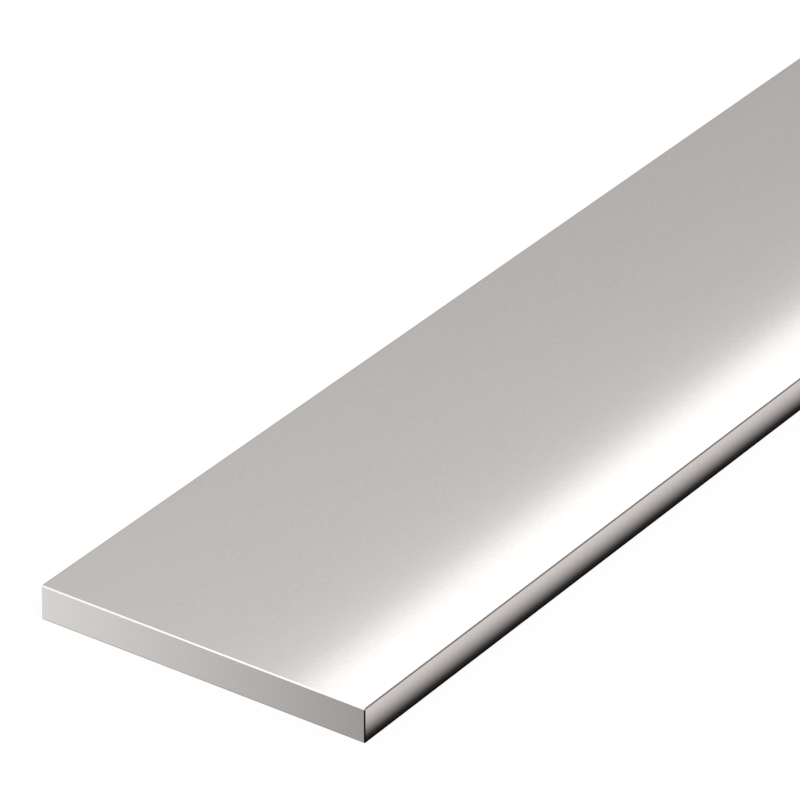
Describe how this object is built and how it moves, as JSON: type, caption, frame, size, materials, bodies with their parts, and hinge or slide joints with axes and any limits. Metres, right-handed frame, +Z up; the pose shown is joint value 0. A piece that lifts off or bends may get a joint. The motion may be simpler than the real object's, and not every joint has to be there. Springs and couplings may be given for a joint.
{
  "type": "metal flat bar",
  "caption": "Long flat bar of bright steel stock: plain rectangular section, lightly rounded long edges, square sawn and deburred ends.",
  "frame": {"origin": "centre of the broad bottom face, which the bar lies on", "axes": "+X along the bar's length, +Y across its width, +Z up through its thickness"},
  "size_m": [1, 0.05, 0.005],
  "materials": {
    "bright_steel": "bright drawn steel, smooth satin, with a fine matt grain, and smooth ground sawn ends"
  },
  "bodies": {
    "root": {"flat_bar": "bright_steel"}
  },
  "joints": []
}
